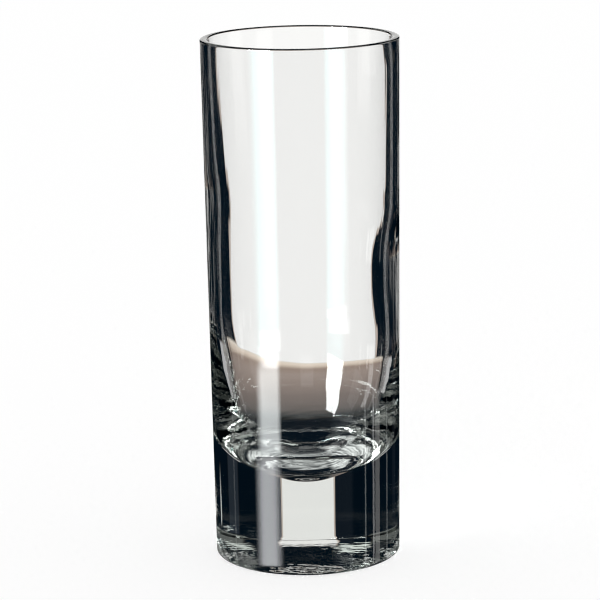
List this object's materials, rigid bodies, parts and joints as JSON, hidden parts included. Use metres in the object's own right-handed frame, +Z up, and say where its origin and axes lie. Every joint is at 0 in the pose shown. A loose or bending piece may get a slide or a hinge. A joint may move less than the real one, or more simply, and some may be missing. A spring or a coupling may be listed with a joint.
{
  "type": "collins glass",
  "caption": "Tall straight drinking glass in clear glass, slightly tapered, with a rounded rim, an uneven bore ending in a round bowl, and a heavy solid base.",
  "frame": {"origin": "centre of the foot, on the plane that the glass stands on", "axes": "+Z up along the glass from the foot to the rim, +Y away from the viewer of the reference view, +X to that viewer's right"},
  "size_m": [0.06, 0.06, 0.16],
  "materials": {
    "glass": "clear, fire polished"
  },
  "bodies": {
    "root": {"glass_body": "glass"}
  },
  "joints": []
}
